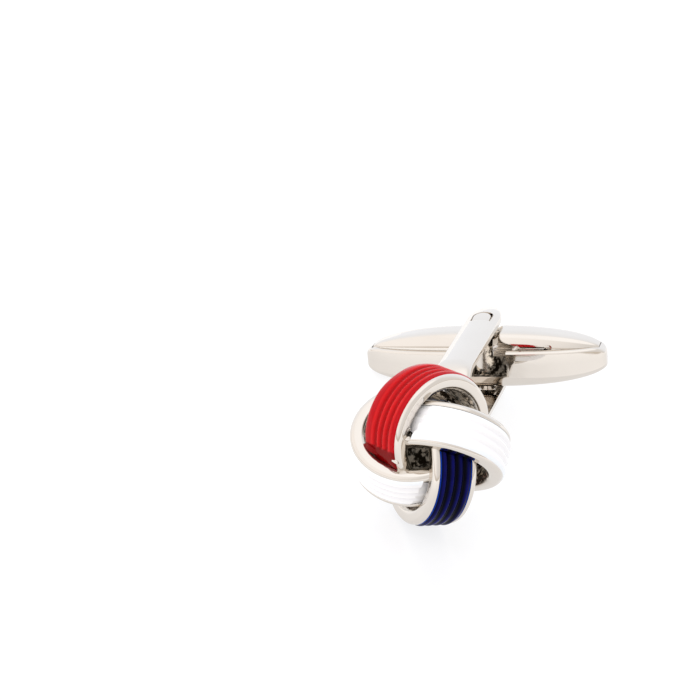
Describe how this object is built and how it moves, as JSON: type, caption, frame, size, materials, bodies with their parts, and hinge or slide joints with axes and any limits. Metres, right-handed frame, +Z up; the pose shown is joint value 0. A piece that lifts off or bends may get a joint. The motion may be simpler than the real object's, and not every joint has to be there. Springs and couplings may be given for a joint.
{
  "type": "knot cufflink",
  "caption": "Knot cufflink: interlaced polished bands inlaid with ribbed red, white and blue enamel, on a forked shank that ends in a swivelling toggle.",
  "frame": {"origin": "on the table under the middle of the bounding box, with the cufflink lying on its side", "axes": "+Y runs from the knot to the toggle along the shank, +X to the right seen from the knot with the upper arm on top, +Z up from the table. The cufflink lies tilted 7 degrees about X and 13 degrees about Y, on the knot's lower band, the lower arm's end and the left end of the toggle."},
  "size_m": [0.0206, 0.0292, 0.0124],
  "materials": {
    "metal": "mirror polished bright plating",
    "enamel_red": "glossy opaque enamel",
    "enamel_white": "glossy opaque enamel",
    "enamel_blue": "glossy deep blue enamel"
  },
  "bodies": {
    "fork": {"body": "metal", "enamel_red": "enamel_red", "enamel_white_right": "enamel_white", "enamel_blue": "enamel_blue", "enamel_white_left": "enamel_white"},
    "toggle": {"toggle_shell": "metal", "toggle_cap": "metal", "toggle_spring": "metal"}
  },
  "joints": [
    {"name": "toggle_swivel", "type": "hinge", "parent": "fork", "child": "toggle", "pos_m": [-0.00006, 0.01098, 0.00367], "axis": [-0.2232, 0.1259, 0.9666], "continuous": true}
  ]
}
